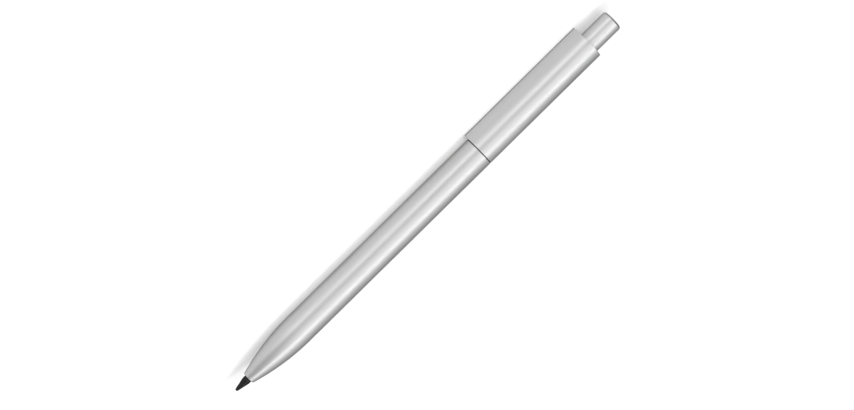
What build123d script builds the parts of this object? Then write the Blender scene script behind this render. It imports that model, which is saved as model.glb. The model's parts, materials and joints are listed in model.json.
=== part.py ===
from build123d import *

import os
from math import asin, atan2, cos, degrees, hypot, pi, radians, sin, sqrt, tan

# An inkless metal pencil with a push button, lying on a desk with its nib out.
# Sizes are in millimetres. The axis runs along X with the nib towards +X, and the
# desk is Z = 0. The pencil rests on its barrel and on the lip of its clip.

# Front barrel
BARREL_DIAMETER = 8.8
BARREL_WALL = 0.55
STRAIGHT_LENGTH = 66.8
NOSE_LENGTH = 18.7
NOZZLE_DIAMETER = 3.45
NOZZLE_LAND = 1.8
NOZZLE_EDGE = 0.15
BARREL_EDGE = 0.08

# Clip sleeve: a wall wrapped round the upper half, which runs off in a flat clip
SEAM_GAP = 0.25
SLEEVE_LENGTH = 40.55
SLEEVE_WALL = 0.6
CLIP_REACH = 3.6
CLIP_OPENING = 70.0
SLEEVE_EDGE = 0.18

# Push button
BUTTON_DIAMETER = 6.1
BUTTON_REACH = 9.0
BUTTON_WALL = 0.5
BUTTON_END_WALL = 1.1
BUTTON_EDGE = 0.7
BUTTON_CLEARANCE = 0.07

# Nib and cartridge
NIB_DIAMETER = 2.3
NIB_REACH = 4.7
NIB_STRAIGHT = 1.0
NIB_POINT_RADIUS = 0.45
NIB_CLEARANCE = 0.05
NIB_SEAT = 3.0
CARTRIDGE_CLEARANCE = 0.27
TUBE_WALL = 0.4
HOLDER_FLANGE = 1.0
HOLDER_SPIGOT = 4.0
PLUG_FLANGE = 1.5
PLUG_SPIGOT = 3.5
SEAT_GAP = 0.03

# Return spring, drawn at its length with the nib out
SPRING_WIRE = 0.4
SPRING_LENGTH = 14.0
SPRING_TURNS = 10.5
SPRING_INSET = 0.05
SPRING_CLEARANCE = 0.3
NECK_CLEARANCE = 0.25

# Nose bush
BUSH_LENGTH = 6.0
BUSH_WALL = 0.55
BUSH_FLANGE = 0.8

# Screw joint between the two halves
THREAD_PITCH = 0.8
THREAD_DEPTH = 0.3
THREAD_CREST = 0.2
THREAD_FLANK = 30.0
THREAD_CLEARANCE = 0.1
THREAD_LENGTH = 5.0
THREAD_RELIEF = 1.2
INSERT_WALL = 0.33
INSERT_LENGTH = 7.4
INSERT_RECESS = 0.7
SPIGOT_WALL = 0.38
SPIGOT_LEAD = 0.6
COUPLING_FLANGE = 0.6
COUPLING_SEAT = 4.0
SEAM_RECESS = 0.3

# Inner tube and click mechanism
CARRIER_WALL = 0.4
COLLAR_LENGTH = 1.6
COLLAR_RECESS = 0.15
PRESS_TRAVEL = 1.2
NIB_HIDE = 0.4
STOP_MARGIN = 0.4
FLANGE_LENGTH = 1.2
FLANGE_CLEARANCE = 0.08
GUIDE_LENGTH = 13.0
GUIDE_WALL = 0.34
GUIDE_RIB_DEPTH = 0.52
CAM_CLEARANCE = 0.1
CAM_GAP = 0.12
CAM_RIBS = 4
RIB_WIDTH = 0.9
ROTOR_RIB_LENGTH = 4.0
ROTOR_TAIL = 1.6
ROTOR_NOSE = 5.0
ROTOR_NOSE_RADIUS = 1.9
ROTOR_PIN_RADIUS = 1.2
ROTOR_PIN_LENGTH = 3.0
PIN_CLEARANCE = 0.1
TOOTH_DEPTH = 0.7
NOTCH_DEPTH = 0.6
PLUNGER_RIB_LENGTH = 6.0

# Gap drawn round pieces that are pressed or bonded into one another
FIT_GAP = 0.02

# Radii, from the outside in
barrel_r = BARREL_DIAMETER / 2
barrel_bore = barrel_r - BARREL_WALL
nozzle_r = NOZZLE_DIAMETER / 2
insert_r = barrel_bore - FIT_GAP
groove_r = insert_r - INSERT_WALL
crest_r = groove_r - THREAD_CLEARANCE
root_r = crest_r - THREAD_DEPTH
insert_bore = root_r + THREAD_CLEARANCE
spigot_bore = root_r - SPIGOT_WALL
cartridge_r = spigot_bore - CARTRIDGE_CLEARANCE
tube_bore = cartridge_r - TUBE_WALL
spring_outer = cartridge_r - SPRING_INSET
spring_mean = spring_outer - SPRING_WIRE / 2
neck_r = spring_outer - SPRING_WIRE - NECK_CLEARANCE
chamber_r = spring_outer + SPRING_CLEARANCE
nib_r = NIB_DIAMETER / 2
nib_bore = nib_r + NIB_CLEARANCE
bush_r = nib_bore + BUSH_WALL
sleeve_bore = barrel_r - SLEEVE_WALL
carrier_r = sleeve_bore - FIT_GAP
carrier_bore = carrier_r - CARRIER_WALL
button_r = BUTTON_DIAMETER / 2
button_bore = button_r - BUTTON_WALL
collar_bore = button_r + BUTTON_CLEARANCE
flange_r = carrier_bore - FLANGE_CLEARANCE
guide_r = carrier_bore - FIT_GAP
slot_floor = guide_r - GUIDE_WALL
guide_bore = slot_floor - GUIDE_RIB_DEPTH
core_r = guide_bore - CAM_CLEARANCE
rib_top = slot_floor - CAM_CLEARANCE
pin_bore = ROTOR_PIN_RADIUS + PIN_CLEARANCE

# Places along the axis, from the nib to the button
retract_travel = NIB_REACH + NIB_HIDE
body_length = NOSE_LENGTH + STRAIGHT_LENGTH + SEAM_GAP + SLEEVE_LENGTH
length = NIB_REACH + body_length + BUTTON_REACH
x_nib = length / 2
x_nozzle = x_nib - NIB_REACH
x_shoulder = x_nozzle - NOSE_LENGTH
x_barrel_end = x_shoulder - STRAIGHT_LENGTH
x_sleeve_front = x_barrel_end - SEAM_GAP
x_sleeve_rear = x_sleeve_front - SLEEVE_LENGTH
x_button = x_sleeve_rear - BUTTON_REACH
x_bush_front = x_nozzle - NOZZLE_LAND
x_bush_rear = x_bush_front - BUSH_LENGTH
x_bush_seat = x_bush_rear + BUSH_FLANGE
x_holder_front = x_bush_rear - PRESS_TRAVEL - STOP_MARGIN
x_nib_rear = x_holder_front - NIB_SEAT
x_holder_seat = x_bush_rear - SPRING_LENGTH
x_tube_front = x_holder_seat - HOLDER_FLANGE
x_collar_rear = x_sleeve_rear + COLLAR_RECESS
x_collar_front = x_collar_rear + COLLAR_LENGTH
x_flange_rear = x_collar_front + retract_travel + STOP_MARGIN
x_flange_front = x_flange_rear + FLANGE_LENGTH
x_guide_rear = x_flange_front + PRESS_TRAVEL + STOP_MARGIN
x_guide_front = x_guide_rear + GUIDE_LENGTH
x_rib_rear = x_guide_front + CAM_GAP
x_rib_front = x_rib_rear + ROTOR_RIB_LENGTH
x_rotor_rear = x_rib_rear - ROTOR_TAIL
x_plunger_front = x_rotor_rear - CAM_GAP
x_rotor_front = x_rib_front + ROTOR_NOSE
x_plug_rear = x_rotor_front + SEAT_GAP
x_tube_rear = x_plug_rear + PLUG_FLANGE
x_carrier_front = x_sleeve_front - COUPLING_FLANGE
x_thread_rear = x_sleeve_front + THREAD_RELIEF
x_thread_front = x_thread_rear + THREAD_LENGTH
x_spigot_front = x_thread_front + SPIGOT_LEAD
x_insert_rear = x_barrel_end + INSERT_RECESS
x_insert_front = x_insert_rear + INSERT_LENGTH

AXIS = Axis((0, 0, barrel_r), (1, 0, 0))
PROFILE = Plane(origin=(0, 0, barrel_r), x_dir=(1, 0, 0), z_dir=(0, -1, 0))
rib_angles = [360 / CAM_RIBS * i for i in range(CAM_RIBS)]
notch_angles = [180 / CAM_RIBS * (i + 0.5) * 2 for i in range(CAM_RIBS)]
tooth_angles = [180 / (2 * CAM_RIBS) * i for i in range(2 * CAM_RIBS)]


def turned(*points):
    """Turn a closed outline of (place along the axis, radius) round the axis."""
    with BuildSketch(PROFILE) as outline:
        with BuildLine():
            Polyline(*points, close=True)
        make_face()
    revolve(outline.sketch, axis=AXIS)


def radial_plane(angle, radius):
    """A plane facing outwards, at this angle round the axis and this far from it."""
    out = (0, -sin(radians(angle)), cos(radians(angle)))
    origin = (0, out[1] * radius, barrel_r + out[2] * radius)
    return Plane(origin=origin, x_dir=(1, 0, 0), z_dir=out)


def ribs(x_rear, x_front, point, width, radius_from, radius_to, angles):
    """Straight ribs along the axis, with a pointed rear end of the given length."""
    for angle in angles:
        with BuildSketch(radial_plane(angle, radius_from)) as rib:
            with BuildLine():
                Polyline(
                    (x_rear, 0),
                    (x_rear + point, -width / 2),
                    (x_front, -width / 2),
                    (x_front, width / 2),
                    (x_rear + point, width / 2),
                    close=True,
                )
            make_face()
        extrude(rib.sketch, amount=radius_to - radius_from)


def vee_notches(x_face, depth, reach, angles):
    """Cut vee notches across an end face, each by a square bar turned on its edge."""
    side = depth * sqrt(2)
    for angle in angles:
        with Locations(Location((x_face, 0, barrel_r), (angle, 0, 0))):
            Box(side, 2 * reach, side, rotation=(0, 45, 0), mode=Mode.SUBTRACT)


def tooth_half(radius):
    """Half the width of the outer thread's tooth at this radius."""
    return THREAD_CREST / 2 + (crest_r - radius) * tan(radians(THREAD_FLANK))


def screw_thread(radius_from, radius_to, half_from, half_to, x_rear, x_front):
    """Wind a tooth of the given half widths round the axis and join it to the part."""
    with BuildLine() as turn:
        Helix(
            pitch=THREAD_PITCH,
            height=x_front - x_rear,
            radius=root_r,
            center=(x_rear, 0, barrel_r),
            direction=(1, 0, 0),
        )
    start = turn.line @ 0
    outward = start - Vector(x_rear, 0, barrel_r)
    with BuildSketch(Plane(origin=start, x_dir=outward, z_dir=turn.line % 0)) as section:
        with BuildLine():
            Polyline(
                (radius_from - root_r, -half_from),
                (radius_to - root_r, -half_to),
                (radius_to - root_r, half_to),
                (radius_from - root_r, half_from),
                close=True,
            )
        make_face()
    sweep(section.sketch, path=turn.line, is_frenet=True)


os.makedirs("parts", exist_ok=True)

# Front barrel: one tube, drawn in to an ogive nose
with BuildPart() as front_barrel:
    with BuildSketch(PROFILE):
        with BuildLine():
            Line((x_barrel_end, barrel_r), (x_shoulder, barrel_r))
            TangentArc((x_shoulder, barrel_r), (x_nozzle, nozzle_r), tangent=(1, 0))
            Polyline(
                (x_nozzle, nozzle_r),
                (x_nozzle, nib_bore),
                (x_bush_front, nib_bore),
                (x_bush_front, bush_r + FIT_GAP),
                (x_bush_seat, bush_r + FIT_GAP),
                (x_bush_seat, chamber_r),
                (x_shoulder, chamber_r),
                (x_shoulder - (barrel_bore - chamber_r), barrel_bore),
                (x_barrel_end, barrel_bore),
                (x_barrel_end, barrel_r),
            )
        make_face()
    revolve(axis=AXIS)
    front_rims = front_barrel.edges().filter_by(GeomType.CIRCLE).group_by(Axis.X)[-1]
    fillet(front_rims, radius=NOZZLE_EDGE)
    rear_rims = front_barrel.edges().filter_by(GeomType.CIRCLE).group_by(Axis.X)[0]
    fillet(rear_rims.sort_by(SortBy.RADIUS)[-1], radius=BARREL_EDGE)
front_barrel.part.label = "front_barrel"
export_step(front_barrel.part, "parts/front_barrel.step")

# Nose bush: guides the nib and seats the spring
with BuildPart() as nose_bush:
    turned(
        (x_bush_rear, nib_bore),
        (x_bush_front, nib_bore),
        (x_bush_front, bush_r),
        (x_bush_seat, bush_r),
        (x_bush_seat, chamber_r - FIT_GAP),
        (x_bush_rear, chamber_r - FIT_GAP),
    )
nose_bush.part.label = "nose_bush"
export_step(nose_bush.part, "parts/nose_bush.step")

# Threaded insert in the rear of the barrel. Its tooth lies midway between the coupling's.
with BuildPart() as thread_insert:
    turned(
        (x_insert_rear, groove_r),
        (x_insert_front, groove_r),
        (x_insert_front, insert_r),
        (x_insert_rear, insert_r),
    )
    tooth_from = groove_r + INSERT_WALL / 3
    half_space = THREAD_PITCH / 2 - THREAD_CLEARANCE
    screw_thread(
        tooth_from,
        insert_bore,
        half_space - tooth_half(tooth_from),
        half_space - tooth_half(insert_bore),
        x_thread_rear + THREAD_PITCH / 2,
        x_insert_front - THREAD_PITCH / 2,
    )
thread_insert.part.label = "thread_insert"
export_step(thread_insert.part, "parts/thread_insert.step")

# Threaded coupling in the front of the inner tube
with BuildPart() as coupling:
    turned(
        (x_carrier_front - COUPLING_SEAT, spigot_bore),
        (x_spigot_front, spigot_bore),
        (x_spigot_front, root_r),
        (x_sleeve_front, root_r),
        (x_sleeve_front, carrier_r),
        (x_carrier_front, carrier_r),
        (x_carrier_front, carrier_bore - FIT_GAP),
        (x_carrier_front - COUPLING_SEAT, carrier_bore - FIT_GAP),
    )
    tooth_from = root_r - SPIGOT_WALL / 6
    screw_thread(
        tooth_from,
        crest_r,
        tooth_half(tooth_from),
        tooth_half(crest_r),
        x_thread_rear,
        x_thread_front,
    )
coupling.part.label = "coupling"
export_step(coupling.part, "parts/coupling.step")

# Seam ring between the two halves
with BuildPart() as seam_ring:
    turned(
        (x_sleeve_front + FIT_GAP, crest_r + FIT_GAP),
        (x_barrel_end - FIT_GAP, crest_r + FIT_GAP),
        (x_barrel_end - FIT_GAP, barrel_r - SEAM_RECESS),
        (x_sleeve_front + FIT_GAP, barrel_r - SEAM_RECESS),
    )
seam_ring.part.label = "seam_ring"
export_step(seam_ring.part, "parts/seam_ring.step")

# Inner tube of the upper half
with BuildPart() as inner_tube:
    turned(
        (x_collar_front, carrier_bore),
        (x_carrier_front, carrier_bore),
        (x_carrier_front, carrier_r),
        (x_collar_front, carrier_r),
    )
inner_tube.part.label = "inner_tube"
export_step(inner_tube.part, "parts/inner_tube.step")

# Collar that guides the button at the top of the inner tube
with BuildPart() as top_collar:
    turned(
        (x_collar_rear, collar_bore),
        (x_collar_front, collar_bore),
        (x_collar_front, carrier_r),
        (x_collar_rear, carrier_r),
    )
top_collar.part.label = "top_collar"
export_step(top_collar.part, "parts/top_collar.step")

# Clip sleeve. Its barrel and the lip of its clip both touch the desk, so the clip's
# flat is turned from straight down by twice the angle that the lip is seen under.
lip_r = SLEEVE_WALL / 2
lean = 2 * atan2(CLIP_REACH, barrel_r - lip_r)
SECTION = Plane(
    origin=(x_sleeve_front, 0, barrel_r),
    x_dir=(0, cos(lean), -sin(lean)),
    z_dir=(-1, 0, 0),
)
wrap = 360 - CLIP_OPENING
end_angle = radians(90 + wrap)
with BuildPart() as clip_sleeve:
    with BuildSketch(SECTION):
        with BuildLine():
            Line((0, barrel_r), (CLIP_REACH, barrel_r))
            CenterArc((CLIP_REACH, barrel_r - lip_r), lip_r, 90, -180)
            Line((CLIP_REACH, sleeve_bore), (0, sleeve_bore))
            CenterArc((0, 0), sleeve_bore, 90, wrap)
            Line(
                (sleeve_bore * cos(end_angle), sleeve_bore * sin(end_angle)),
                (barrel_r * cos(end_angle), barrel_r * sin(end_angle)),
            )
            CenterArc((0, 0), barrel_r, 90, wrap)
        make_face()
    extrude(amount=SLEEVE_LENGTH)
    rims = clip_sleeve.edges().filter_by_position(Axis.X, x_sleeve_front, x_sleeve_front)
    rims += clip_sleeve.edges().filter_by_position(Axis.X, x_sleeve_rear, x_sleeve_rear)
    outer_rims = [
        rim
        for rim in rims
        if hypot((rim @ 0.5).Y, (rim @ 0.5).Z - barrel_r) > barrel_r - FIT_GAP
        and rim.length > SLEEVE_WALL * 2
    ]
    outer_rims = [
        rim
        for rim in outer_rims
        if rim.geom_type == GeomType.LINE or rim.radius > barrel_r - FIT_GAP
    ]
    chamfer(outer_rims, length=SLEEVE_EDGE)
clip_sleeve.part.label = "clip_sleeve"
export_step(clip_sleeve.part, "parts/clip_sleeve.step")

# Push button: a cap over the rear of the plunger
with BuildPart() as push_button:
    turned(
        (x_button, 0),
        (x_button, button_r),
        (x_flange_rear, button_r),
        (x_flange_rear, button_bore),
        (x_button + BUTTON_END_WALL, button_bore),
        (x_button + BUTTON_END_WALL, 0),
    )
    button_rim = push_button.edges().filter_by(GeomType.CIRCLE).group_by(Axis.X)[0]
    fillet(button_rim, radius=BUTTON_EDGE)
push_button.part.label = "push_button"
export_step(push_button.part, "parts/push_button.step")

# Plunger: stem in the button, stop flange, guide ribs and a crown of teeth
with BuildPart() as plunger:
    turned(
        (x_button + BUTTON_END_WALL + STOP_MARGIN, 0),
        (x_button + BUTTON_END_WALL + STOP_MARGIN, button_bore - FIT_GAP),
        (x_flange_rear + SEAT_GAP, button_bore - FIT_GAP),
        (x_flange_rear + SEAT_GAP, flange_r),
        (x_flange_front, flange_r),
        (x_flange_front, core_r),
        (x_plunger_front, core_r),
        (x_plunger_front, pin_bore),
        (x_plunger_front - ROTOR_PIN_LENGTH - STOP_MARGIN, pin_bore),
        (x_plunger_front - ROTOR_PIN_LENGTH - STOP_MARGIN, 0),
    )
    ribs(
        x_flange_front - FLANGE_LENGTH / 2,
        x_flange_front + PLUNGER_RIB_LENGTH,
        0,
        RIB_WIDTH,
        core_r - GUIDE_RIB_DEPTH / 2,
        sqrt(rib_top**2 - (RIB_WIDTH / 2) ** 2),
        rib_angles,
    )
    vee_notches(x_plunger_front, TOOTH_DEPTH, core_r + 1, tooth_angles)
plunger.part.label = "plunger"
export_step(plunger.part, "parts/plunger.step")

# Cam guide: slots for the ribs, and latch notches between them
with BuildPart() as cam_guide:
    turned(
        (x_guide_rear, guide_bore),
        (x_guide_front, guide_bore),
        (x_guide_front, guide_r),
        (x_guide_rear, guide_r),
    )
    slot_width = RIB_WIDTH + 2 * CAM_CLEARANCE
    slot_from = guide_bore - GUIDE_RIB_DEPTH
    for angle in rib_angles:
        with BuildSketch(radial_plane(angle, slot_from)):
            with Locations(((x_guide_rear + x_guide_front) / 2, 0)):
                Rectangle(2 * GUIDE_LENGTH, slot_width)
        extrude(amount=slot_floor - slot_from, mode=Mode.SUBTRACT)
    for angle in notch_angles:
        with BuildSketch(radial_plane(angle, slot_from)):
            with BuildLine():
                Polyline(
                    (x_guide_front + NOTCH_DEPTH, -2 * NOTCH_DEPTH),
                    (x_guide_front - NOTCH_DEPTH, 0),
                    (x_guide_front + NOTCH_DEPTH, 2 * NOTCH_DEPTH),
                    close=True,
                )
            make_face()
        extrude(amount=slot_floor - slot_from, mode=Mode.SUBTRACT)
cam_guide.part.label = "cam_guide"
export_step(cam_guide.part, "parts/cam_guide.step")

# Cam rotor: teeth behind, pointed ribs, and a nose against the cartridge
with BuildPart() as cam_rotor:
    turned(
        (x_rotor_rear, 0),
        (x_rotor_rear, core_r),
        (x_rib_front, core_r),
        (x_rib_front, ROTOR_NOSE_RADIUS),
        (x_rotor_front, ROTOR_NOSE_RADIUS),
        (x_rotor_front, 0),
    )
    vee_notches(x_rotor_rear, TOOTH_DEPTH, core_r + 1, tooth_angles)
    ribs(
        x_rib_rear,
        x_rib_front,
        RIB_WIDTH / 4,
        RIB_WIDTH,
        core_r - GUIDE_RIB_DEPTH / 2,
        sqrt(rib_top**2 - (RIB_WIDTH / 2) ** 2),
        rib_angles,
    )
    turned(
        (x_rotor_rear - ROTOR_PIN_LENGTH, 0),
        (x_rotor_rear - ROTOR_PIN_LENGTH, ROTOR_PIN_RADIUS),
        (x_rib_front, ROTOR_PIN_RADIUS),
        (x_rib_front, 0),
    )
cam_rotor.part.label = "cam_rotor"
export_step(cam_rotor.part, "parts/cam_rotor.step")

# Nib: a rod of graphite alloy with a rounded point
with BuildPart() as nib:
    x_taper = x_nozzle + NIB_STRAIGHT
    x_point = x_nib - NIB_POINT_RADIUS
    slant = atan2(nib_r, x_point - x_taper)
    slant -= asin(NIB_POINT_RADIUS / hypot(nib_r, x_point - x_taper))
    touch = (x_point + NIB_POINT_RADIUS * sin(slant), NIB_POINT_RADIUS * cos(slant))
    with BuildSketch(PROFILE):
        with BuildLine():
            Polyline((x_nib, 0), (x_nib_rear, 0), (x_nib_rear, nib_r), (x_taper, nib_r), touch)
            TangentArc(touch, (x_nib, 0), tangent=(cos(slant), -sin(slant)))
        make_face()
    revolve(axis=AXIS)
nib.part.label = "nib"
export_step(nib.part, "parts/nib.step")

# Nib holder: neck inside the spring, flange against it, spigot in the tube
with BuildPart() as nib_holder:
    turned(
        (x_tube_front - HOLDER_SPIGOT, 0),
        (x_tube_front - HOLDER_SPIGOT, tube_bore - FIT_GAP),
        (x_tube_front + SEAT_GAP, tube_bore - FIT_GAP),
        (x_tube_front + SEAT_GAP, cartridge_r),
        (x_holder_seat, cartridge_r),
        (x_holder_seat, neck_r),
        (x_holder_front, neck_r),
        (x_holder_front, nib_r + FIT_GAP),
        (x_nib_rear - SEAT_GAP, nib_r + FIT_GAP),
        (x_nib_rear - SEAT_GAP, 0),
    )
nib_holder.part.label = "nib_holder"
export_step(nib_holder.part, "parts/nib_holder.step")

# Cartridge tube
with BuildPart() as cartridge_tube:
    turned(
        (x_tube_rear, tube_bore),
        (x_tube_front, tube_bore),
        (x_tube_front, cartridge_r),
        (x_tube_rear, cartridge_r),
    )
cartridge_tube.part.label = "cartridge_tube"
export_step(cartridge_tube.part, "parts/cartridge_tube.step")

# Plug in the rear of the cartridge tube
with BuildPart() as cartridge_plug:
    turned(
        (x_plug_rear, 0),
        (x_plug_rear, cartridge_r),
        (x_tube_rear - SEAT_GAP, cartridge_r),
        (x_tube_rear - SEAT_GAP, tube_bore - FIT_GAP),
        (x_tube_rear + PLUG_SPIGOT, tube_bore - FIT_GAP),
        (x_tube_rear + PLUG_SPIGOT, 0),
    )
cartridge_plug.part.label = "cartridge_plug"
export_step(cartridge_plug.part, "parts/cartridge_plug.step")

# Return spring round the holder's neck
x_coil_rear = x_holder_seat + SPRING_WIRE / 2 + FIT_GAP
x_coil_front = x_bush_rear - SPRING_WIRE / 2 - FIT_GAP
coil_pitch = (x_coil_front - x_coil_rear) / SPRING_TURNS
with BuildPart() as return_spring:
    with BuildLine() as coil:
        Helix(
            pitch=coil_pitch,
            height=x_coil_front - x_coil_rear,
            radius=spring_mean,
            center=(x_coil_rear, 0, barrel_r),
            direction=(1, 0, 0),
        )
    with BuildSketch(Plane(origin=coil.line @ 0, z_dir=coil.line % 0)):
        Circle(SPRING_WIRE / 2)
    sweep(path=coil.line, is_frenet=True)
return_spring.part.label = "return_spring"
export_step(return_spring.part, "parts/return_spring.step")

climb = atan2(coil_pitch, 2 * pi * spring_mean)
print("least gap between turns of the spring, mm:", round(coil_pitch * cos(climb) - SPRING_WIRE, 2))
print("overall length, mm:", round(length, 2))
print("travel from nib out to nib in, mm:", round(retract_travel, 2))
print("lean of the clip's flat, degrees:", round(degrees(lean), 2))
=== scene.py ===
import json
from math import asin, atan2, cos, hypot, pi, radians, sin, tan

import bmesh
import bpy
from mathutils import Matrix, Vector
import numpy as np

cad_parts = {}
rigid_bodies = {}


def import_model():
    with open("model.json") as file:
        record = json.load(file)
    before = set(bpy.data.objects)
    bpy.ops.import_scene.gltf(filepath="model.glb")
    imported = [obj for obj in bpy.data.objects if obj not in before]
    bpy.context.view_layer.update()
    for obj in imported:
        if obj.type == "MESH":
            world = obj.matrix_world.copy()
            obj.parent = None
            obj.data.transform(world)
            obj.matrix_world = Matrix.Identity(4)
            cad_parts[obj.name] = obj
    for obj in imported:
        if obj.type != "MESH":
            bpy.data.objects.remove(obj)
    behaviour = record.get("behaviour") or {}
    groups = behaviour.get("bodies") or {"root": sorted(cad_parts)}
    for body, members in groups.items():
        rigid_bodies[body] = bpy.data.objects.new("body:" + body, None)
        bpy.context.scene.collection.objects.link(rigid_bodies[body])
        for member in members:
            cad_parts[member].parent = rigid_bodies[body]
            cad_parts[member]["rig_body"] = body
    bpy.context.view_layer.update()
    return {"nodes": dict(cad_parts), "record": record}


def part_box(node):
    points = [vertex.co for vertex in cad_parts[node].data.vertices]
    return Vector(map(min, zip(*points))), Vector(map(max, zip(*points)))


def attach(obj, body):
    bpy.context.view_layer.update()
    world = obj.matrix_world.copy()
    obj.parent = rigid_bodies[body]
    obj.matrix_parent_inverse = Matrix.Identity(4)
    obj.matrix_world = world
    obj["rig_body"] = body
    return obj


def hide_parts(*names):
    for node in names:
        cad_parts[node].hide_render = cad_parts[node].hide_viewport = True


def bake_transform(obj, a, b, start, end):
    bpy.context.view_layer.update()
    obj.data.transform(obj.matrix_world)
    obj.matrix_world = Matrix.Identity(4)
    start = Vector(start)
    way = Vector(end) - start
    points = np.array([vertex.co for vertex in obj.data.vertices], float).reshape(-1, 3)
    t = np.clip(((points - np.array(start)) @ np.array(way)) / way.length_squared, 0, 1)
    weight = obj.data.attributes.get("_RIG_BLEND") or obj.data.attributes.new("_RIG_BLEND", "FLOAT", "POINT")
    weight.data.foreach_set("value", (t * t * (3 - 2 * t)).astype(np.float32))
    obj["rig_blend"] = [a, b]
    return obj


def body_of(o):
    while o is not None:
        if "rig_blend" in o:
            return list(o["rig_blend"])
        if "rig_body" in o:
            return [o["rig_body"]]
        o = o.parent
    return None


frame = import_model()

bl_info = {
    "name": "Inkless Pencil",
    "version": (1, 0, 0),
    "blender": (4, 5, 0),
    "location": "View3D > Sidebar > Pencil",
    "description": "Dresses the packed solids of a push-button metal pencil and sets its studio",
    "category": "Object",
}

MM = 0.001

# Places that the frame gives, in metres. The axis runs along X with the nib towards +X.
MOUNTS = {mount["name"]: mount for mount in frame["record"]["mounts"]}
GRIP = MOUNTS["barrel_grip"]
BARREL_RADIUS = GRIP["dims"]["r_mm"] * MM
AXIS_HEIGHT = GRIP["pos_m"][2]
SHOULDER_X = GRIP["pos_m"][0] + GRIP["dims"]["length_mm"] * MM / 2
FLAT_NORMAL = Vector(MOUNTS["clip_flat"]["axis"])
SLOTS = {part["node"]: part["material_slot"] for part in frame["record"]["subparts"]}


def span(node):
    """The lowest and highest X of a solid."""
    low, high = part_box(node)
    return low.x, high.x


def radius(node):
    """The outer radius of a turned solid."""
    low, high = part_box(node)
    return (high.y - low.y) / 2


def body(node):
    """The body that a solid moves with."""
    return body_of(frame["nodes"][node])[0]


def length_prop(name, description, millimetres):
    """A size that the panel shows in the scene's length unit."""
    return bpy.props.FloatProperty(
        name=name, description=description, default=millimetres * MM, unit="LENGTH", precision=5
    )


def angle_prop(name, description, degrees):
    """An angle that the panel shows in degrees."""
    return bpy.props.FloatProperty(
        name=name, description=description, default=radians(degrees), subtype="ANGLE"
    )


def colour_prop(name, description, red, green, blue):
    """A surface colour in linear light."""
    return bpy.props.FloatVectorProperty(
        name=name, description=description, default=(red, green, blue), subtype="COLOR", min=0.0, max=1.0
    )


def factor_prop(name, description, value):
    """A plain share from 0 to 1."""
    return bpy.props.FloatProperty(
        name=name, description=description, default=value, subtype="FACTOR", min=0.0, max=1.0
    )


def level_prop(name, description, value):
    """The brightness of a lamp's face, where 1 is white."""
    return bpy.props.FloatProperty(name=name, description=description, default=value, min=0.0)


class PencilSizes(bpy.types.PropertyGroup):
    """Sizes of the visible pieces that the frame's boxes don't give."""

    facets: bpy.props.IntProperty(
        name="Facets", description="Sides of a turned surface", default=192, min=24
    )
    barrel_wall: length_prop("Barrel wall", "Thickness of the front barrel's tube", 0.55)
    barrel_edge: length_prop("Barrel edge", "Rounding of the barrel's rear rim", 0.03)
    nozzle_radius: length_prop("Nozzle radius", "Radius of the nose where the nib comes out", 1.725)
    nozzle_edge: length_prop("Nozzle edge", "Rounding of the nose's front rim", 0.15)
    nozzle_land: length_prop("Nozzle land", "Length of the hole that guides the nib", 1.8)
    nib_clearance: length_prop("Nib clearance", "Gap between the nib and its hole", 0.05)
    bush_seat: length_prop("Bush seat", "Radius of the seat behind the nib's hole", 1.77)
    bush_flange: length_prop("Bush flange", "Length of the nose bush's flange", 0.8)
    spring_room: length_prop("Spring room", "Radius of the bore that holds the spring", 2.7)
    spring_wire: length_prop("Spring wire", "Thickness of the return spring's wire", 0.4)
    sleeve_wall: length_prop("Sleeve wall", "Thickness of the clip sleeve's sheet", 0.6)
    sleeve_edge: length_prop("Sleeve edge", "Rounding of the clip sleeve's ends", 0.04)
    clip_reach: length_prop("Clip reach", "Width of the flat from where it leaves the sleeve", 3.6)
    clip_opening: angle_prop("Clip opening", "Part of the turn that the sleeve leaves open", 70.0)
    button_wall: length_prop("Button wall", "Thickness of the push button's skirt", 0.5)
    button_end: length_prop("Button end", "Thickness of the push button's end", 1.1)
    button_edge: length_prop("Button edge", "Rounding of the push button's rim", 0.7)
    nib_straight: length_prop("Nib straight", "Straight length of the nib outside the nose", 1.0)
    nib_point: length_prop("Nib point", "Radius of the nib's rounded point", 0.45)
    nib_shoulder: length_prop("Nib shoulder", "Rounding where the nib starts to taper", 0.3)
    seam_recess: length_prop("Seam recess", "Depth of the seam ring below the barrel's surface", 0.12)
    seam_bore: length_prop("Seam bore", "Inner radius of the seam ring", 3.42)
    tube_bore: length_prop("Tube bore", "Inner radius of the inner tube", 3.38)
    collar_bore: length_prop("Collar bore", "Inner radius of the top collar", 3.12)
    small_edge: length_prop("Small edge", "Rounding of the small inner rims", 0.05)


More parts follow.
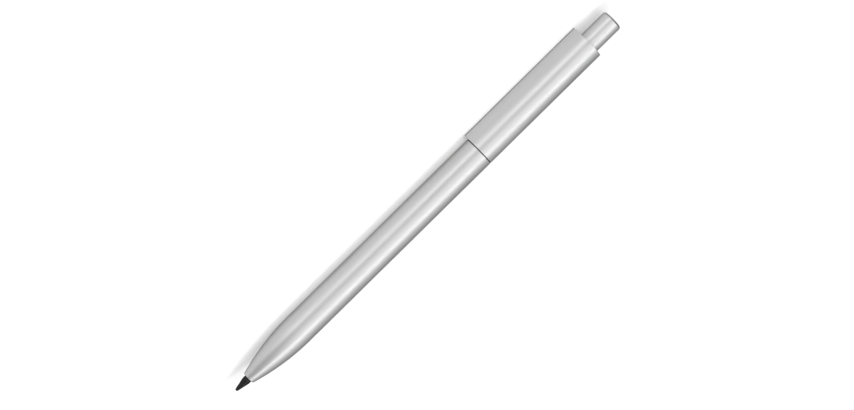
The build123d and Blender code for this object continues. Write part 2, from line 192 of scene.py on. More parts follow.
class PencilFinish(bpy.types.PropertyGroup):
    """Colours and surface qualities of the finishes."""

    aluminium: colour_prop("Aluminium", "Clear anodised aluminium", 0.53, 0.53, 0.53)
    aluminium_rim: colour_prop("Aluminium rim", "Tint of the aluminium at a grazing angle", 0.2, 0.2, 0.2)
    # Painted shade: the aluminium's rims are coloured darker than the metal, broken up by noise.
    aluminium_rim_shade: colour_prop("Aluminium rim shade", "Painted shade on the rims", 0.22, 0.22, 0.22)
    aluminium_roughness: factor_prop("Aluminium roughness", "Spread of the satin gloss", 0.46)
    nib: colour_prop("Nib", "Dark writing alloy", 0.028, 0.028, 0.029)
    nib_rim: colour_prop("Nib rim", "Tint of the nib at a grazing angle", 0.3, 0.3, 0.3)
    nib_burnished: colour_prop("Burnished nib", "Point polished by paper", 0.034, 0.034, 0.035)
    seal: colour_prop("Seal", "Black ring in the seam", 0.024, 0.024, 0.025)
    seal_gloss: factor_prop("Seal gloss", "Specular level of the matt ring", 0.1)
    black_anodised: colour_prop("Black anodised", "Dyed anodised tube", 0.040, 0.040, 0.043)
    brass: colour_prop("Brass", "Turned brass", 0.78, 0.57, 0.25)
    brass_dull: colour_prop("Dull brass", "Brass in the bottoms of its tool marks", 0.52, 0.36, 0.14)
    steel: colour_prop("Steel", "Drawn stainless steel", 0.60, 0.60, 0.61)
    steel_dark: colour_prop("Dark steel", "Shadowed draw lines in the steel", 0.40, 0.40, 0.42)
    black_plastic: colour_prop("Black plastic", "Moulded plug", 0.028, 0.028, 0.029)
    acetal: colour_prop("Acetal", "White moulded click parts", 0.82, 0.82, 0.79)


class PencilStudio(bpy.types.PropertyGroup):
    """The camera, the lamps and the floor."""

    lens: bpy.props.FloatProperty(
        name="Lens", description="Focal length", default=95.0, unit="CAMERA"
    )
    distance: length_prop("Distance", "Camera to the point that it looks at", 596.8)
    elevation: angle_prop("Elevation", "Height of the camera above the horizon", 30.07)
    roll: angle_prop("Roll", "Slope of the pencil in the picture", 44.546)
    aim_shift: length_prop("Aim shift", "Aim point from the pencil's middle towards the button", 0.516)
    aim_rise: length_prop("Aim rise", "Aim point above the axis in the picture plane", 0.487)
    lamp_distance: length_prop("Lamp distance", "Lamps to the pencil's axis", 1400.0)
    key: level_prop("Key", "Brightness of the long lamp overhead", 3.04)
    key_angle: angle_prop("Key angle", "Key lamp above the front horizon", 89.0)
    key_spread: angle_prop("Key spread", "Width of the key lamp, seen from the pencil", 20.0)
    key_nib_side: length_prop("Key nib side", "Key lamp past the pencil's middle, to the nib", 1800.0)
    key_button_side: length_prop("Key button side", "The same to the button", 900.0)
    front: level_prop("Front", "Brightness of the wide lamp in front", 1.36)
    front_angle: angle_prop("Front angle", "Front lamp above the front horizon", 53.0)
    front_spread: angle_prop("Front spread", "Width of the front lamp, seen from the pencil", 35.0)
    front_nib_side: length_prop("Front nib side", "Front lamp past the pencil's middle, to the nib", 320.0)
    front_button_side: length_prop("Front button side", "The same to the button", 1800.0)
    strip: level_prop("Strip", "Brightness of the low strip lamp in front", 6.8)
    strip_angle: angle_prop("Strip angle", "Strip lamp above the front horizon", 3.0)
    strip_spread: angle_prop("Strip spread", "Width of the strip lamp, seen from the pencil", 6.0)
    strip_nib_side: length_prop("Strip nib side", "Strip lamp past the pencil's middle, to the nib", 350.0)
    strip_button_side: length_prop("Strip button side", "The same to the button", 1800.0)
    back: level_prop("Back", "Brightness of the wide lamp behind", 0.30)
    back_angle: angle_prop("Back angle", "Back lamp above the front horizon, over the top", 125.0)
    back_spread: angle_prop("Back spread", "Width of the back lamp, seen from the pencil", 30.0)
    back_nib_side: length_prop("Back nib side", "Back lamp past the pencil's middle, to the nib", 1200.0)
    back_button_side: length_prop("Back button side", "The same to the button", 1200.0)
    room: level_prop("Room", "Brightness of the plain room", 0.48)
    floor: colour_prop("Floor", "Pale tabletop", 0.60, 0.60, 0.60)
    floor_glow: level_prop("Floor glow", "White added where the floor is seen", 0.40)


# Shader node groups that the finishes share

SMOOTH_DETAIL = 2.0
ROUGH_DETAIL = 3.0
CLOUDY_DETAIL = 4.0
FULL_CONTRAST = (0.3, 0.7)
FEW_BREAKS = (0.2, 0.4)


def new_group(name, inputs, outputs):
    """An empty shader group with float sockets, and its two end nodes."""
    group = bpy.data.node_groups.new(name, "ShaderNodeTree")
    for label, default in inputs:
        socket = group.interface.new_socket(label, in_out="INPUT", socket_type="NodeSocketFloat")
        socket.default_value = default
    for label in outputs:
        group.interface.new_socket(label, in_out="OUTPUT", socket_type="NodeSocketFloat")
    start = group.nodes.new("NodeGroupInput")
    end = group.nodes.new("NodeGroupOutput")
    return group, start, end


def feed(tree, socket, value):
    """Links a socket to another, or sets it to a number."""
    if isinstance(value, bpy.types.NodeSocket):
        tree.links.new(value, socket)
    else:
        socket.default_value = value


def math_node(tree, operation, *values, clamp=False):
    """A Math node. Each value is a number or a socket to link."""
    node = tree.nodes.new("ShaderNodeMath")
    node.operation = operation
    node.use_clamp = clamp
    for socket, value in zip(node.inputs, values):
        feed(tree, socket, value)
    return node.outputs["Value"]


def noise_node(tree, place, scale, detail):
    """A Noise texture read at a place. The scale is a number or a socket."""
    node = tree.nodes.new("ShaderNodeTexNoise")
    tree.links.new(place, node.inputs["Vector"])
    feed(tree, node.inputs["Scale"], scale)
    node.inputs["Detail"].default_value = detail
    return node.outputs["Fac"]


def range_node(tree, value, limits):
    """Spreads the stretch between two limits over 0 to 1."""
    node = tree.nodes.new("ShaderNodeMapRange")
    node.interpolation_type = "SMOOTHSTEP"
    tree.links.new(value, node.inputs["Value"])
    node.inputs["From Min"].default_value, node.inputs["From Max"].default_value = limits
    return node.outputs["Result"]


def stretched_place(tree, along=1.0, across=1.0):
    """Object coordinates scaled by one factor along the axis and another across it."""
    place = tree.nodes.new("ShaderNodeTexCoord").outputs["Object"]
    node = tree.nodes.new("ShaderNodeMapping")
    tree.links.new(place, node.inputs["Vector"])
    node.inputs["Scale"].default_value = (along, across, across)
    return node.outputs["Vector"]


def blasted_grain_group(name):
    """Fine pits of a bead-blasted surface, and the cloudy tone over larger areas."""
    group, start, end = new_group(
        name, [("Pits per Metre", 7000.0), ("Clouds per Metre", 90.0)], ["Height", "Clouds"]
    )
    place = stretched_place(group)
    pits = noise_node(group, place, start.outputs["Pits per Metre"], ROUGH_DETAIL)
    clouds = noise_node(group, place, start.outputs["Clouds per Metre"], CLOUDY_DETAIL)
    group.links.new(pits, end.inputs["Height"])
    group.links.new(range_node(group, clouds, FULL_CONTRAST), end.inputs["Clouds"])
    return group


def edge_wear_and_shade_group(name):
    """A broken mask along the rims that the meshes mark in their edge attribute: painted shade on the
    aluminium's rims, and burnishing on the nib's point.
    """
    group, start, end = new_group(name, [("Amount", 0.5), ("Breaks per Metre", 900.0)], ["Mask"])
    rim = group.nodes.new("ShaderNodeAttribute")
    rim.attribute_name = "edge"
    breaks = noise_node(group, stretched_place(group), start.outputs["Breaks per Metre"], ROUGH_DETAIL)
    whole = range_node(group, breaks, FEW_BREAKS)
    broken = math_node(group, "MULTIPLY", rim.outputs["Fac"], whole)
    mask = math_node(group, "MULTIPLY", broken, start.outputs["Amount"], clamp=True)
    group.links.new(mask, end.inputs["Mask"])
    return group


def tool_lines_group(name):
    """Fine rings that a lathe tool leaves round the axis."""
    group, start, end = new_group(name, [("Lines per Metre", 9000.0)], ["Height", "Shade"])
    place = stretched_place(group, across=0.02)
    rings = noise_node(group, place, start.outputs["Lines per Metre"], SMOOTH_DETAIL)
    group.links.new(rings, end.inputs["Height"])
    group.links.new(range_node(group, rings, FULL_CONTRAST), end.inputs["Shade"])
    return group


def draw_lines_group(name):
    """Long scratches along the axis, as drawing through a die leaves them."""
    group, start, end = new_group(name, [("Lines per Metre", 9000.0)], ["Height", "Shade"])
    place = stretched_place(group, along=0.01)
    lines = noise_node(group, place, start.outputs["Lines per Metre"], SMOOTH_DETAIL)
    group.links.new(lines, end.inputs["Height"])
    group.links.new(range_node(group, lines, FULL_CONTRAST), end.inputs["Shade"])
    return group


def moulded_skin_group(name):
    """The faint orange peel of a moulded surface, and its flow marks."""
    group, start, end = new_group(
        name, [("Peel per Metre", 2500.0), ("Flow per Metre", 500.0)], ["Height", "Flow"]
    )
    peel = noise_node(group, stretched_place(group), start.outputs["Peel per Metre"], SMOOTH_DETAIL)
    drawn_out = stretched_place(group, along=0.3)
    flow = noise_node(group, drawn_out, start.outputs["Flow per Metre"], ROUGH_DETAIL)
    group.links.new(peel, end.inputs["Height"])
    group.links.new(range_node(group, flow, FULL_CONTRAST), end.inputs["Flow"])
    return group


GROUPS = {
    "Blasted Grain": blasted_grain_group,
    "Edge Wear": edge_wear_and_shade_group,
    "Tool Lines": tool_lines_group,
    "Draw Lines": draw_lines_group,
    "Moulded Skin": moulded_skin_group,
}


# Finishes

SATIN_SWING = 0.02


def shade(colour, share):
    """A colour darkened or lightened to a share of itself."""
    return [channel * share for channel in colour]


class Finish:
    """One material with a Principled shader, and short ways to wire it."""

    def __init__(self, name, metallic):
        self.material = bpy.data.materials.new(name)
        self.material.use_nodes = True
        self.tree = self.material.node_tree
        self.shader = self.tree.nodes["Principled BSDF"]
        self.shader.inputs["Metallic"].default_value = metallic

    def group(self, name, **values):
        """Places a shared group, built the first time that it is asked for, and returns its outputs."""
        node = self.tree.nodes.new("ShaderNodeGroup")
        node.node_tree = bpy.data.node_groups.get(name) or GROUPS[name](name)
        for socket in node.inputs:
            key = socket.name.lower().replace(" ", "_")
            socket.default_value = values.get(key, socket.default_value)
        return node.outputs

    def mix(self, mask, first, second):
        """A colour that goes from the first to the second where the mask is 1."""
        node = self.tree.nodes.new("ShaderNodeMix")
        node.data_type = "RGBA"
        self.tree.links.new(mask, node.inputs["Factor"])
        for socket, colour in ((node.inputs["A"], first), (node.inputs["B"], second)):
            feed(self.tree, socket, colour if isinstance(colour, bpy.types.NodeSocket) else (*colour, 1.0))
        return node.outputs["Result"]

    def colour(self, mask, first, second):
        """The base colour goes from the first to the second where the mask is 1."""
        self.tree.links.new(self.mix(mask, first, second), self.shader.inputs["Base Color"])

    def roughness(self, mask, low, high):
        """The roughness goes from low to high where the mask is 1."""
        value = math_node(self.tree, "MULTIPLY_ADD", mask, high - low, low)
        self.tree.links.new(value, self.shader.inputs["Roughness"])

    def bump(self, height, depth):
        """Raises the surface by a height from 0 to 1 times a depth in metres."""
        node = self.tree.nodes.new("ShaderNodeBump")
        node.inputs["Distance"].default_value = depth
        self.tree.links.new(height, node.inputs["Height"])
        self.tree.links.new(node.outputs["Normal"], self.shader.inputs["Normal"])


def satin_aluminium(name, finish):
    """Bead-blasted, clear anodised aluminium, with painted shade on its rims."""
    satin = Finish(name, metallic=1.0)
    grain = satin.group("Blasted Grain")
    # Painted shade: the rims take the darker rim colour where the broken rim mask is 1.
    rim_wear_and_shade = satin.group("Edge Wear", amount=1.0)
    clouded = satin.mix(grain["Clouds"], shade(finish.aluminium, share=0.97), finish.aluminium)
    satin.colour(rim_wear_and_shade["Mask"], clouded, finish.aluminium_rim_shade)
    middle = finish.aluminium_roughness
    satin.roughness(grain["Clouds"], low=middle - SATIN_SWING, high=middle + SATIN_SWING)
    satin.shader.inputs["Specular Tint"].default_value = (*finish.aluminium_rim, 1.0)
    satin.bump(grain["Height"], depth=0.0015 * MM)
    return satin.material


def graphite_alloy(name, finish):
    """Dark turned alloy, burnished towards the point."""
    alloy = Finish(name, metallic=1.0)
    lines = alloy.group("Tool Lines", lines_per_metre=12000.0)
    rim_wear_and_shade = alloy.group("Edge Wear", amount=0.9)
    alloy.colour(rim_wear_and_shade["Mask"], finish.nib, finish.nib_burnished)
    alloy.roughness(lines["Shade"], low=0.36, high=0.5)
    alloy.shader.inputs["Specular Tint"].default_value = (*finish.nib_rim, 1.0)
    alloy.bump(lines["Height"], depth=0.004 * MM)
    return alloy.material


def black_seal(name, finish):
    """Matt black ring with a moulded skin."""
    seal = Finish(name, metallic=0.0)
    skin = seal.group("Moulded Skin", peel_per_metre=4000.0)
    seal.colour(skin["Flow"], finish.seal, shade(finish.seal, share=1.5))
    seal.roughness(skin["Flow"], low=0.62, high=0.78)
    seal.shader.inputs["Specular IOR Level"].default_value = finish.seal_gloss
    seal.bump(skin["Height"], depth=0.004 * MM)
    return seal.material


def black_anodised(name, finish):
    """Dyed anodised tube with faint draw lines."""
    dyed = Finish(name, metallic=0.85)
    lines = dyed.group("Draw Lines", lines_per_metre=7000.0)
    dyed.colour(lines["Shade"], finish.black_anodised, shade(finish.black_anodised, share=1.4))
    dyed.roughness(lines["Shade"], low=0.36, high=0.46)
    dyed.bump(lines["Height"], depth=0.002 * MM)
    return dyed.material


def turned_brass(name, finish):
    """Brass with the rings of the lathe tool."""
    brass = Finish(name, metallic=1.0)
    lines = brass.group("Tool Lines", lines_per_metre=8000.0)
    brass.colour(lines["Shade"], finish.brass_dull, finish.brass)
    brass.roughness(lines["Shade"], low=0.38, high=0.22)
    brass.bump(lines["Height"], depth=0.006 * MM)
    return brass.material


def drawn_steel(name, finish):
    """Thin steel tube with long draw lines."""
    steel = Finish(name, metallic=1.0)
    lines = steel.group("Draw Lines")
    steel.colour(lines["Shade"], finish.steel_dark, finish.steel)
    steel.roughness(lines["Shade"], low=0.4, high=0.26)
    steel.bump(lines["Height"], depth=0.003 * MM)
    return steel.material


def spring_wire(name, finish):
    """Bright wire with the haze of its heat treatment."""
    wire = Finish(name, metallic=1.0)
    haze = wire.group("Blasted Grain", pits_per_metre=9000.0, clouds_per_metre=700.0)
    wire.colour(haze["Clouds"], finish.steel_dark, finish.steel)
    wire.roughness(haze["Clouds"], low=0.34, high=0.2)
    wire.bump(haze["Height"], depth=0.002 * MM)
    return wire.material


def black_plastic(name, finish):
    """Matt moulded plug."""
    plastic = Finish(name, metallic=0.0)
    skin = plastic.group("Moulded Skin")
    plastic.colour(skin["Flow"], finish.black_plastic, shade(finish.black_plastic, share=1.4))
    plastic.roughness(skin["Flow"], low=0.42, high=0.58)
    plastic.bump(skin["Height"], depth=0.004 * MM)
    return plastic.material


def white_acetal(name, finish):
    """Waxy white mouldings of the click mechanism."""
    acetal = Finish(name, metallic=0.0)
    skin = acetal.group("Moulded Skin", peel_per_metre=1800.0)
    acetal.colour(skin["Flow"], shade(finish.acetal, share=0.93), finish.acetal)
    acetal.roughness(skin["Flow"], low=0.38, high=0.52)
    acetal.bump(skin["Height"], depth=0.004 * MM)
    return acetal.material


FINISHES = {
    "satin_aluminium": satin_aluminium,
    "graphite_alloy": graphite_alloy,
    "black_seal": black_seal,
    "black_anodised": black_anodised,
    "brass": turned_brass,
    "cartridge_steel": drawn_steel,
    "spring_steel": spring_wire,
    "black_plastic": black_plastic,
    "white_acetal": white_acetal,
}


def material_for(slot):
    """The finish of a record's material slot, made the first time that it is asked for."""
    name = f"{slot}_finish"
    return bpy.data.materials.get(name) or FINISHES[slot](name, bpy.context.scene.pencil_finish)


# Meshes

# Steps of a rounding, its support rows' distance in roundings, and the angle that stays sharp
ROUND_STEPS = 6
SUPPORT_SHARE = 0.12
SMOOTH_ANGLE = radians(32)


def rounded(corners, closed):
    """An outline from corners (x, r, rounding) as points (x, r, rim), where a rounding's rim rises to 1."""
    points = []
    count = len(corners)
    for i, (x, r, rounding) in enumerate(corners):
        end = not closed and i in (0, count - 1)
        if end or rounding == 0:
            points.append((x, r, 0.0))
            continue
        corner = Vector((x, r))
        before = (Vector(corners[i - 1][:2]) - corner).normalized()
        after = (Vector(corners[(i + 1) % count][:2]) - corner).normalized()
        half = before.angle(after) / 2
        reach = rounding / tan(half)
        centre = corner + (before + after).normalized() * rounding / sin(half)
        first = corner + before * reach
        last = corner + after * reach
        support = rounding * SUPPORT_SHARE
        points.append((*(first + before * support), 0.0))
        turn = (first - centre).angle_signed(last - centre)
        for step in range(ROUND_STEPS + 1):
            arm = Matrix.Rotation(-turn * step / ROUND_STEPS, 2) @ (first - centre)
            points.append((*(centre + arm), sin(pi * step / ROUND_STEPS) ** 2))
        points.append((*(last + after * support), 0.0))
    return points


def arc(centre, size, start, end, steps):
    """Corners along an arc, from one angle to another about a centre (x, r)."""
    corners = []
    for step in range(steps + 1):
        turn = start + (end - start) * step / steps
        corners.append((centre[0] + size * cos(turn), centre[1] + size * sin(turn), 0))
    return corners


def mesh_from(name, verts, faces, rims):
    """A smooth mesh that keeps its sharp corners, with the rims marked for painted rim shade on aluminium
    and burnishing on the nib.
    """
    mesh = bpy.data.meshes.new(name)
    mesh.from_pydata(verts, [], faces)
    shell = bmesh.new()
    shell.from_mesh(mesh)
    bmesh.ops.recalc_face_normals(shell, faces=shell.faces)
    shell.to_mesh(mesh)
    shell.free()
    mesh.attributes.new("edge", "FLOAT", "POINT").data.foreach_set("value", rims)
    mesh.shade_smooth()
    mesh.set_sharp_from_angle(angle=SMOOTH_ANGLE)
    return mesh


def tube_faces(count, size):
    """Four-sided faces between rings of one size that follow each other."""
    faces = []
    for low in range(0, (count - 1) * size, size):
        for k in range(size):
            after = (k + 1) % size
            faces.append((low + k, low + size + k, low + size + after, low + after))
    return faces


def turned_mesh(name, outline, closed, facets):
    """Turns points (x, r, rim) about the pencil's axis. An open outline starts and ends on the axis."""
    verts, rims, rings = [], [], []
    for x, r, rim in outline:
        sides = facets if r > 0 else 1
        rings.append([len(verts) + k for k in range(sides)])
        for k in range(sides):
            turn = 2 * pi * k / sides
            verts.append((x, r * sin(turn), AXIS_HEIGHT + r * cos(turn)))
            rims.append(rim)
    faces = []
    following = rings[1:] + rings[:1] if closed else rings[1:]
    for ring, after in zip(rings, following):
        for k in range(facets):
            here, there = (ring[k % len(ring)], ring[(k + 1) % len(ring)])
            beyond, beside = (after[(k + 1) % len(after)], after[k % len(after)])
            faces.append(list(dict.fromkeys((here, beside, beyond, there))))
    return mesh_from(name, verts, faces, rims)


def dress(name, mesh, node):
    """Puts a mesh in the scene in place of a solid, with the solid's finish."""
    piece = bpy.data.objects.new(name, mesh)
    bpy.context.scene.collection.objects.link(piece)
    mesh.materials.append(material_for(SLOTS[node]))
    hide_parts(node)
    return piece


def add_piece(name, mesh, node):
    """Adds a rigid piece, which moves with the body of the solid that it stands for."""
    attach(dress(name, mesh, node), body(node))


class PENCIL_OT_front_barrel(bpy.types.Operator):
    """Make the front barrel: a straight tube that ends in a long curved nose"""

    bl_idname = "pencil.front_barrel"
    bl_label = "Front Barrel"

    NOSE_STEPS = 64

    def execute(self, context):
        sizes = context.scene.pencil_sizes
        rear, nozzle = span("front_barrel")
        nose = nozzle - SHOULDER_X
        drop = BARREL_RADIUS - sizes.nozzle_radius
        curve = (nose**2 + drop**2) / (2 * drop)
        steepest = pi / 2 - asin(nose / curve)
        nose_line = arc((SHOULDER_X, BARREL_RADIUS - curve), curve, steepest, pi / 2, self.NOSE_STEPS)
        bore = BARREL_RADIUS - sizes.barrel_wall
        guide = radius("nib") + sizes.nib_clearance
        seat = nozzle - sizes.nozzle_land
        shelf = span("nose_bush")[0] + sizes.bush_flange
        corners = [
            (nozzle, guide, sizes.small_edge),
            (nozzle, sizes.nozzle_radius, sizes.nozzle_edge),
            *nose_line[1:],
            (rear, BARREL_RADIUS, sizes.barrel_edge),
            (rear, bore, sizes.small_edge),
            (SHOULDER_X - (bore - sizes.spring_room), bore, 0),
            (SHOULDER_X, sizes.spring_room, 0),
            (shelf, sizes.spring_room, 0),
            (shelf, sizes.bush_seat, 0),
            (seat, sizes.bush_seat, 0),
            (seat, guide, 0),
        ]
        outline = rounded(corners, closed=True)
        mesh = turned_mesh("satin_barrel", outline, closed=True, facets=sizes.facets)
        add_piece("satin_barrel", mesh, "front_barrel")
        return {"FINISHED"}


class PENCIL_OT_clip_sleeve(bpy.types.Operator):
    """Make the clip sleeve: a sheet wrapped round the upper half, with one edge run out flat as the clip"""

    bl_idname = "pencil.clip_sleeve"
    bl_label = "Clip Sleeve"

    FLAT_STEPS = 16
    WRAP_STEPS = 150
    LIP_STEPS = 8

    def section(self, sizes, inset):
        """Points (along, out, rim) round the sheet, drawn in by an inset, and their count a side."""
        half = sizes.sleeve_wall / 2
        middle = BARREL_RADIUS - half
        thick = half - inset
        wrap = 2 * pi - sizes.clip_opening
        path = []
        for step in range(self.FLAT_STEPS):
            path.append((sizes.clip_reach * (1 - step / self.FLAT_STEPS), middle, pi / 2))
        for step in range(self.WRAP_STEPS + 1):
            turn = pi / 2 + wrap * step / self.WRAP_STEPS
            path.append((middle * cos(turn), middle * sin(turn), turn))
        a, b, turn = path[-1]
        path[-1] = (a + inset * sin(turn), b - inset * cos(turn), turn)
        outer = [(a + thick * cos(turn), b + thick * sin(turn), 0.0) for a, b, turn in path]
        inner = [(a - thick * cos(turn), b - thick * sin(turn), 0.0) for a, b, turn in reversed(path)]
        lip = arc((sizes.clip_reach, middle), thick, -pi / 2, pi / 2, self.LIP_STEPS)
        # The lip's rounding is marked as a rim, so it takes the painted rim shade.
        lip = [(a, b, 1.0) for a, b, _ in lip]
        return [lip[-1], *outer[1:], *inner[:-1], *lip[:-1]], len(path)

    def execute(self, context):
        sizes = context.scene.pencil_sizes
        rear, front = span("clip_sleeve")
        edge = sizes.sleeve_edge
        along = Vector((0, -FLAT_NORMAL.z, FLAT_NORMAL.y))
        stations = []
        # The rounded ends are marked as rims, so they take the painted rim shade.
        for step in range(ROUND_STEPS + 1):
            swing = pi / 2 * step / ROUND_STEPS
            stations.append((edge * (1 - cos(swing)), edge * (1 - sin(swing)), 1.0))
        stations.append((edge * (1 + SUPPORT_SHARE), 0.0, 0.0))
        ends = [(front - depth, inset, rim_shade) for depth, inset, rim_shade in stations]
        ends += [(rear + depth, inset, rim_shade) for depth, inset, rim_shade in reversed(stations)]
        verts, rims = [], []
        for x, inset, rim_shade in ends:
            loop, stretch = self.section(sizes, inset)
            for a, b, rim in loop:
                place = along * a + FLAT_NORMAL * b
                verts.append((x, place.y, AXIS_HEIGHT + place.z))
                rims.append(max(rim_shade, rim))
        size = len(loop)
        last = (len(ends) - 1) * size
        faces = tube_faces(len(ends), size)
        for base, turned in ((0, False), (last, True)):
            caps = []
            for k in range(stretch - 1):
                across = 2 * stretch - 1 - k
                caps.append([base + k, base + k + 1, base + across - 1, base + across])
            caps.append([base, *range(base + 2 * stretch - 1, base + size)])
            faces += [cap[::-1] if turned else cap for cap in caps]
        add_piece("satin_sleeve", mesh_from("satin_sleeve", verts, faces, rims), "clip_sleeve")
        return {"FINISHED"}


class PENCIL_OT_push_button(bpy.types.Operator):
    """Make the push button: a thin cap with a rounded rim"""

    bl_idname = "pencil.push_button"
    bl_label = "Push Button"

    def execute(self, context):
        sizes = context.scene.pencil_sizes
        end, mouth = span("push_button")
        outer = radius("push_button")
        inner = outer - sizes.button_wall
        floor = end + sizes.button_end
        corners = [
            (end, 0, 0),
            (end, outer, sizes.button_edge),
            (mouth, outer, sizes.small_edge),
            (mouth, inner, sizes.small_edge),
            (floor, inner, sizes.small_edge),
            (floor, 0, 0),
        ]
        outline = rounded(corners, closed=False)
        mesh = turned_mesh("satin_button", outline, closed=False, facets=sizes.facets)
        add_piece("satin_button", mesh, "push_button")
        return {"FINISHED"}


class PENCIL_OT_nib(bpy.types.Operator):
    """Make the nib: a dark pin that tapers to a rounded point"""

    bl_idname = "pencil.nib"
    bl_label = "Nib"

    POINT_STEPS = 12

    def execute(self, context):
        sizes = context.scene.pencil_sizes
        rear, point = span("nib")
        outer = radius("nib")
        taper = span("front_barrel")[1] + sizes.nib_straight
        centre = point - sizes.nib_point
        run = hypot(centre - taper, outer)
        slope = atan2(outer, centre - taper) - asin(sizes.nib_point / run)
        corners = [
            *arc((centre, 0), sizes.nib_point, 0, pi / 2 - slope, self.POINT_STEPS),
            (taper, outer, sizes.nib_shoulder),
            (rear, outer, sizes.small_edge),
            (rear, 0, 0),
        ]
        outline = []
        for i, (x, r, _) in enumerate(rounded(corners, closed=False)):
            outline.append((x, r, 1.0 if i <= self.POINT_STEPS else 0.0))
        mesh = turned_mesh("turned_nib", outline, closed=False, facets=sizes.facets)
        add_piece("turned_nib", mesh, "nib")
        return {"FINISHED"}


class PENCIL_OT_black_rings(bpy.types.Operator):
    """Make the black pieces that show in the gaps: the seam ring, the inner tube and the top collar"""

    bl_idname = "pencil.black_rings"
    bl_label = "Black Rings"

    def execute(self, context):
        sizes = context.scene.pencil_sizes
        edge = sizes.small_edge
        rings = (
            ("seam_seal", "seam_ring", BARREL_RADIUS - sizes.seam_recess, sizes.seam_bore),
            ("carrier_tube", "inner_tube", radius("inner_tube"), sizes.tube_bore),
            ("end_collar", "top_collar", radius("top_collar"), sizes.collar_bore),
        )
        for name, node, outer, bore in rings:
            rear, front = span(node)
            corners = [(front, bore, edge), (front, outer, edge), (rear, outer, edge), (rear, bore, edge)]
            outline = rounded(corners, closed=True)
            add_piece(name, turned_mesh(name, outline, closed=True, facets=sizes.facets), node)
        return {"FINISHED"}


class PENCIL_OT_return_spring(bpy.types.Operator):
    """Make the return spring: a coil with closed ends that the cartridge presses against the nose"""

    bl_idname = "pencil.return_spring"
    bl_label = "Return Spring"

    # Turns of the wire, those that lie closed at each end, and their pitch in wire thicknesses
    TURNS = 10.5
    CLOSED_TURNS = 1.0
    CLOSED_PITCH = 1.1
    STEPS_PER_TURN = 36
    WIRE_SIDES = 16

    def execute(self, context):
        rear, front = span("return_spring")
        half = context.scene.pencil_sizes.spring_wire / 2
        middle = radius("return_spring") - half
        tight = 2 * half * self.CLOSED_PITCH
        closed_run = 2 * (half + self.CLOSED_TURNS * tight)
        pitch = (front - rear - closed_run) / (self.TURNS - 2 * self.CLOSED_TURNS)
        count = round(self.TURNS * self.STEPS_PER_TURN) + 1
        verts = []
        for step in range(count):
            turn = step / self.STEPS_PER_TURN
            closed = min(turn, self.CLOSED_TURNS) + max(turn - self.TURNS + self.CLOSED_TURNS, 0)
            x = rear + half + closed * tight + (turn - closed) * pitch
            for k in range(self.WIRE_SIDES):
                swing = 2 * pi * k / self.WIRE_SIDES
                r = middle + half * cos(swing)
                y, z = r * cos(2 * pi * turn), r * sin(2 * pi * turn)
                verts.append((x + half * sin(swing), y, AXIS_HEIGHT + z))
        first_end = list(range(self.WIRE_SIDES))
        last_end = list(range(len(verts) - self.WIRE_SIDES, len(verts)))
        faces = [*tube_faces(count, self.WIRE_SIDES), first_end, last_end]
        mesh = mesh_from("coil_spring", verts, faces, [0.0] * len(verts))
        spring = dress("coil_spring", mesh, "return_spring")
        start, end = (rear, 0, AXIS_HEIGHT), (front, 0, AXIS_HEIGHT)
        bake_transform(spring, body("return_spring"), body("inner_tube"), start=start, end=end)
        return {"FINISHED"}


class PENCIL_OT_inner_finishes(bpy.types.Operator):
    """Give the solids that keep their shape, such as the cartridge and the click parts, their finishes"""

    bl_idname = "pencil.inner_finishes"
    bl_label = "Inner Finishes"

    def execute(self, context):
        for name, node in frame["nodes"].items():
            if not node.hide_render:
                node.material_slots[0].material = material_for(SLOTS[name])
        return {"FINISHED"}


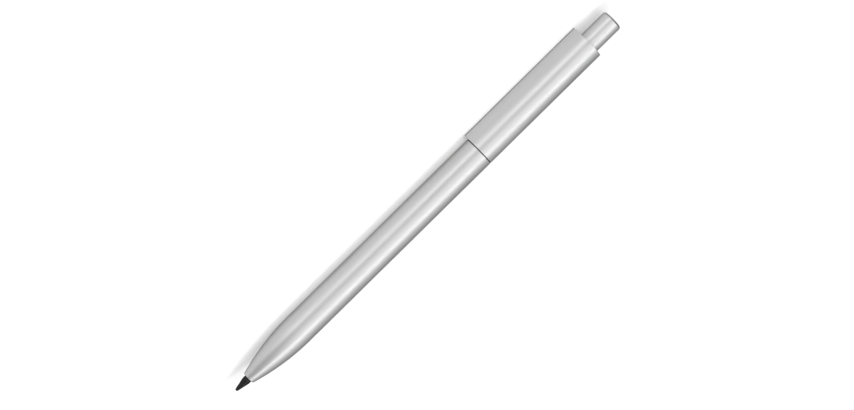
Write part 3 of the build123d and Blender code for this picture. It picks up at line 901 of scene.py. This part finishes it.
class PENCIL_OT_studio(bpy.types.Operator):
    """Set the pale floor, the soft lamps, the plain room and the camera"""

    bl_idname = "pencil.studio"
    bl_label = "Studio"

    FLOOR_HALF = 2.0
    FLOOR_DROP = 0.02 * MM
    SENSOR_WIDTH = 36.0
    CLIP_START = 10 * MM
    WHITE = (1.0, 1.0, 1.0, 1.0)

    def floor(self, studio):
        """A pale tabletop with some white added where the camera, metal or glass sees it."""
        half = self.FLOOR_HALF
        corners = [(-half, -half), (half, -half), (half, half), (-half, half)]
        mesh = bpy.data.meshes.new("tabletop")
        mesh.from_pydata([(x, y, -self.FLOOR_DROP) for x, y in corners], [], [(0, 1, 2, 3)])
        floor = bpy.data.objects.new("tabletop", mesh)
        bpy.context.scene.collection.objects.link(floor)
        material = bpy.data.materials.new("tabletop")
        material.use_nodes = True
        tree = material.node_tree
        shader = tree.nodes["Principled BSDF"]
        shader.inputs["Base Color"].default_value = (*studio.floor, 1.0)
        shader.inputs["Roughness"].default_value = 1.0
        shader.inputs["Specular IOR Level"].default_value = 0.0
        shader.inputs["Emission Color"].default_value = self.WHITE
        path = tree.nodes.new("ShaderNodeLightPath")
        seen = math_node(tree, "ADD", path.outputs["Is Camera Ray"], path.outputs["Is Glossy Ray"])
        seen = math_node(tree, "ADD", seen, path.outputs["Is Transmission Ray"], clamp=True)
        glow = math_node(tree, "MULTIPLY", seen, studio.floor_glow)
        tree.links.new(glow, shader.inputs["Emission Strength"])
        mesh.materials.append(material)

    def lamp(self, name, studio):
        """A soft rectangle along the pencil, at an angle above the front horizon and facing the axis."""
        angle = getattr(studio, f"{name}_angle")
        spread = getattr(studio, f"{name}_spread")
        start, end = -getattr(studio, f"{name}_button_side"), getattr(studio, f"{name}_nib_side")
        data = bpy.data.lights.new(name, "AREA")
        data.shape = "RECTANGLE"
        data.size = end - start
        data.size_y = 2 * studio.lamp_distance * tan(spread / 2)
        data.energy = getattr(studio, name) * pi * data.size * data.size_y
        lamp = bpy.data.objects.new(name, data)
        bpy.context.scene.collection.objects.link(lamp)
        back = Vector((0, -cos(angle), sin(angle)))
        side = Vector((1, 0, 0))
        middle = Vector(((start + end) / 2, 0, AXIS_HEIGHT))
        place = Matrix.Translation(middle + back * studio.lamp_distance)
        lamp.matrix_world = place @ Matrix((side, back.cross(side), back)).transposed().to_4x4()

    def camera(self, studio):
        """Looks down on the pencil, rolled so that it slopes across the picture."""
        rise = studio.elevation
        towards_button = Vector((-1, 0, 0))
        across = Vector((0, sin(rise), cos(rise)))
        back = Vector((0, -cos(rise), sin(rise)))
        aim = Vector((0, 0, AXIS_HEIGHT)) + towards_button * studio.aim_shift + across * studio.aim_rise
        right = towards_button * cos(studio.roll) + across * sin(studio.roll)
        up = towards_button * sin(studio.roll) - across * cos(studio.roll)
        data = bpy.data.cameras.new("camera")
        data.lens = studio.lens
        data.sensor_width = self.SENSOR_WIDTH
        data.clip_start = self.CLIP_START
        camera = bpy.data.objects.new("camera", data)
        bpy.context.scene.collection.objects.link(camera)
        place = Matrix.Translation(aim + back * studio.distance)
        camera.matrix_world = place @ Matrix((right, up, back)).transposed().to_4x4()
        bpy.context.scene.camera = camera

    def room(self, studio):
        """An even white room."""
        world = bpy.data.worlds.new("room")
        world.use_nodes = True
        background = world.node_tree.nodes["Background"]
        background.inputs["Color"].default_value = self.WHITE
        background.inputs["Strength"].default_value = studio.room
        bpy.context.scene.world = world

    def execute(self, context):
        studio = context.scene.pencil_studio
        self.floor(studio)
        for name in ("key", "front", "strip", "back"):
            self.lamp(name, studio)
        self.room(studio)
        context.scene.view_settings.view_transform = "Standard"
        self.camera(studio)
        return {"FINISHED"}


OPERATORS = (
    PENCIL_OT_front_barrel,
    PENCIL_OT_clip_sleeve,
    PENCIL_OT_push_button,
    PENCIL_OT_nib,
    PENCIL_OT_black_rings,
    PENCIL_OT_return_spring,
    PENCIL_OT_inner_finishes,
    PENCIL_OT_studio,
)


class PENCIL_PT_panel(bpy.types.Panel):
    """Lists the pencil's sizes, finishes, studio and pieces"""

    bl_idname = "PENCIL_PT_panel"
    bl_label = "Inkless Pencil"
    bl_space_type = "VIEW_3D"
    bl_region_type = "UI"
    bl_category = "Pencil"

    def draw(self, context):
        scene = context.scene
        for settings in (scene.pencil_sizes, scene.pencil_finish, scene.pencil_studio):
            box = self.layout.box()
            for name in settings.__annotations__:
                box.prop(settings, name)
        for operator in OPERATORS:
            self.layout.operator(operator.bl_idname)


CLASSES = (PencilSizes, PencilFinish, PencilStudio, *OPERATORS, PENCIL_PT_panel)


def register():
    for cls in CLASSES:
        bpy.utils.register_class(cls)
    bpy.types.Scene.pencil_sizes = bpy.props.PointerProperty(type=PencilSizes)
    bpy.types.Scene.pencil_finish = bpy.props.PointerProperty(type=PencilFinish)
    bpy.types.Scene.pencil_studio = bpy.props.PointerProperty(type=PencilStudio)


def unregister():
    del bpy.types.Scene.pencil_studio
    del bpy.types.Scene.pencil_finish
    del bpy.types.Scene.pencil_sizes
    for cls in reversed(CLASSES):
        bpy.utils.unregister_class(cls)


def main():
    register()
    bpy.ops.pencil.front_barrel()
    bpy.ops.pencil.clip_sleeve()
    bpy.ops.pencil.push_button()
    bpy.ops.pencil.nib()
    bpy.ops.pencil.black_rings()
    bpy.ops.pencil.return_spring()
    bpy.ops.pencil.inner_finishes()
    bpy.ops.pencil.studio()


if __name__ == "__main__":
    main()
